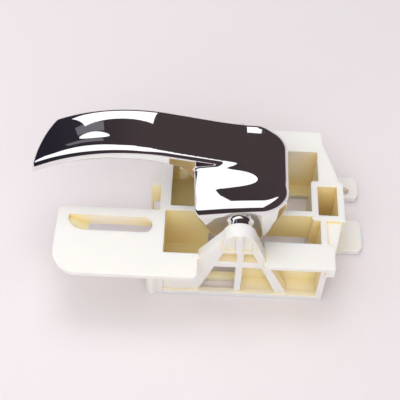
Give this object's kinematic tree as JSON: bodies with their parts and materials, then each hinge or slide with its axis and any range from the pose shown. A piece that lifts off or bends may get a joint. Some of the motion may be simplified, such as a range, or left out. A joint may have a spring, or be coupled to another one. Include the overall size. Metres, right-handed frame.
{
  "type": "car interior door handle",
  "caption": "Inside door handle: a chromed curved pull lever on a hollow hub, hinged across an open ribbed nylon bracket with slotted plate, shelf, pocket and fixing tongues.",
  "frame": {"origin": "middle of the outline seen from above, at the height of the bracket's underside", "axes": "+X along the lever from its tip to its hub, +Y to the rear flange, +Z out of the door, from the underside to the arm"},
  "size_m": [0.144, 0.0804, 0.0576],
  "materials": {
    "nylon": "natural cream, slightly translucent, moulded satin",
    "chromed_lever": "bright chrome plating, polished",
    "steel_pin": "plain ground steel",
    "spring_steel": "oiled spring steel",
    "black_rubber": "matt moulded rubber"
  },
  "bodies": {
    "base": {"bracket": "nylon", "pivot_pin": "steel_pin", "pin_clip": "spring_steel", "return_spring": "spring_steel", "rest_buffer": "black_rubber"},
    "lever_body": {"lever": "chromed_lever"}
  },
  "joints": [
    {"name": "lever_pivot", "type": "hinge", "parent": "base", "child": "lever_body", "pos_m": [0.01525, 0.00095, 0.04], "axis": [0, 1, 0], "range_deg": [0, 40], "stiffness_Nm_per_rad": 0.06, "springref_deg": -91.67, "deforming": ["return_spring"]}
  ]
}
